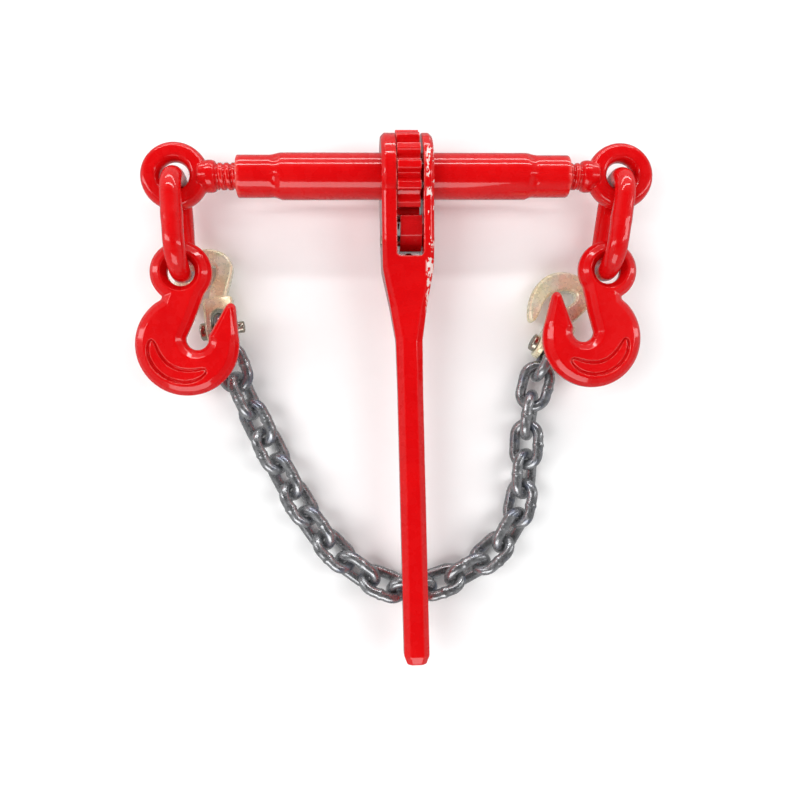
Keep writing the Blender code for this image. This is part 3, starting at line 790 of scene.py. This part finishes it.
def area_light(name, place, aim, size, power, mirrored=True):
    """A soft rectangular lamp. One that isn't mirrored only lights, and doesn't show in gloss."""
    light = bpy.data.lights.new(name, "AREA")
    light.shape = "RECTANGLE"
    light.size, light.size_y = size
    light.energy = power
    obj = bpy.data.objects.new(name, light)
    bpy.context.scene.collection.objects.link(obj)
    obj.location = place
    obj.rotation_euler = (Vector(aim) - Vector(place)).to_track_quat("-Z", "Y").to_euler()
    obj.visible_glossy = mirrored


def make_lights():
    """Two narrow strips and three panels to show in the gloss, two fills and a dim sky."""
    area_light("far_strip", (0.1, 1.5, 0.30), (0.0, 0.1, 0.0), (2.4, 0.12), 9.0)
    area_light("far_panel", (0.0, 1.3, 0.95), (0.0, 0.1, 0.0), (2.0, 0.10), 9.0)
    area_light("near_panel", (-0.3, -1.2, 1.0), (0.0, 0.0, 0.0), (1.4, 0.8), 11.0)
    area_light("left_panel", (-1.3, 0.3, 0.8), (0.0, 0.0, 0.0), (0.25, 1.4), 5.0)
    area_light("right_panel", (1.3, 0.2, 0.8), (0.0, 0.0, 0.0), (0.2, 1.4), 3.5)
    area_light("left_fill", (-1.45, 0.0, 1.55), (0.0, 0.0, 0.0), (1.1, 1.6), 20.5, False)
    area_light("right_fill", (1.45, 0.1, 1.55), (0.0, 0.0, 0.0), (1.1, 1.6), 18.0, False)
    world = bpy.data.worlds.new("studio")
    bpy.context.scene.world = world
    world.use_nodes = True
    place = add(world, "ShaderNodeSeparateXYZ")
    link(world, add(world, "ShaderNodeTexCoord").outputs["Generated"], place.inputs[0])
    background = world.node_tree.nodes["Background"]
    link(world, span(world, place.outputs[2], 0.25, 0.85, 0.36, 0.03), background.inputs["Strength"])
    background.inputs["Color"].default_value = (1.0, 1.0, 1.0, 1.0)
    bpy.context.scene.view_settings.view_transform = "Standard"


def make_camera():
    camera = bpy.data.cameras.new("camera")
    camera.lens = CAMERA_LENS
    camera.sensor_width = 36.0
    obj = bpy.data.objects.new("camera", camera)
    bpy.context.scene.collection.objects.link(obj)
    turn = Matrix.Rotation(radians(CAMERA_YAW), 4, "Y") @ Matrix.Rotation(radians(CAMERA_ROLL), 4, "Z")
    obj.matrix_world = Matrix.Translation(CAMERA_PLACE) @ turn
    bpy.context.scene.camera = obj


def main():
    make_camera()
    make_floor()
    make_lights()
    red = red_enamel("red_enamel")
    make_barrel(red)
    make_gear(red_enamel("gear_enamel"))
    make_handle(red_enamel("handle_enamel", wear=1.0))
    make_pawl(red_enamel("pawl_enamel", (0.42, 0.003, 0.004), (0.60, 0.006, 0.008)))
    for side, mirror, turn, tilt in SIDES:
        place = Vector(PLACES[f"{side}_link_swing"])
        place.y = AXIS.y
        make_eye(side, mirror, place, red)
        make_thread(side, mirror, place, red)
        make_red_link(side, red)
        make_grab_hook(side, mirror, turn, tilt, red)
    make_chain(chain_steel("chain_steel"))
    pin_steel = bare_steel("pin_steel", (0.46, 0.42, 0.33), (0.66, 0.63, 0.54), 0.22)
    zinc = zinc_plate("zinc_plate")
    for side in CLEVIS_TURNS:
        make_clevis_hook(side, zinc)
        place = Vector(PLACES[f"{side}_clevis_swing"])
        turn = turn_matrix(-CLEVIS_TILT, CLEVIS_TURNS[side])
        make_load_pin(side, place, turn, pin_steel)
        make_cotter(side, place, turn, pin_steel)
    make_small_parts(pin_steel, bare_steel("spring_steel", (0.10, 0.10, 0.11), (0.24, 0.24, 0.25), 0.3))


main()
